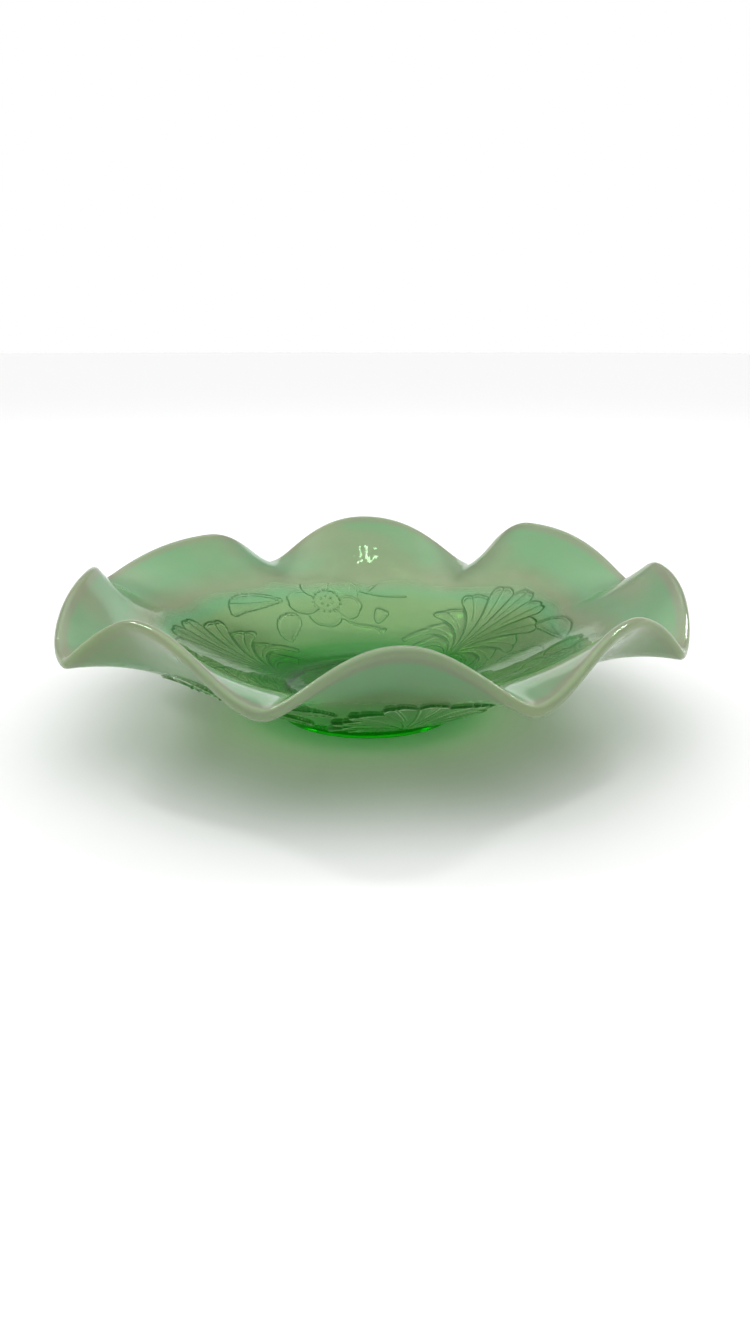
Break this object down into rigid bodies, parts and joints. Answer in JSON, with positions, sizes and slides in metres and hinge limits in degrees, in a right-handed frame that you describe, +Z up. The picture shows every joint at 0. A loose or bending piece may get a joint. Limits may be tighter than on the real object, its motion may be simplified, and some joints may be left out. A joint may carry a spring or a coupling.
{
  "type": "ruffled glass dish",
  "caption": "Shallow round dish of green opalescent pressed glass with a ruffled rim, leaf and blossom relief outside and a low foot ring.",
  "frame": {"origin": "centre of the foot ring on the resting plane", "axes": "+Z up along the axis of the foot, -Y towards the front of the dish"},
  "size_m": [0.2216, 0.2264, 0.056],
  "materials": {
    "deep_green_glass": "fire-polished pressed glass, thick and saturated green",
    "green_glass": "fire-polished pressed glass, clear green",
    "opal_glass": "fire-polished pressed glass, milky where the rim was reheated"
  },
  "bodies": {
    "root": {"foot_ring": "deep_green_glass", "well_floor": "green_glass", "stippled_band": "deep_green_glass", "lower_wall": "green_glass", "ruffled_wall": "opal_glass", "palm_frond_1": "green_glass", "palm_frond_2": "green_glass", "palm_frond_3": "green_glass", "blossom_spray_1": "green_glass", "blossom_spray_2": "green_glass", "blossom_spray_3": "green_glass"}
  },
  "joints": []
}
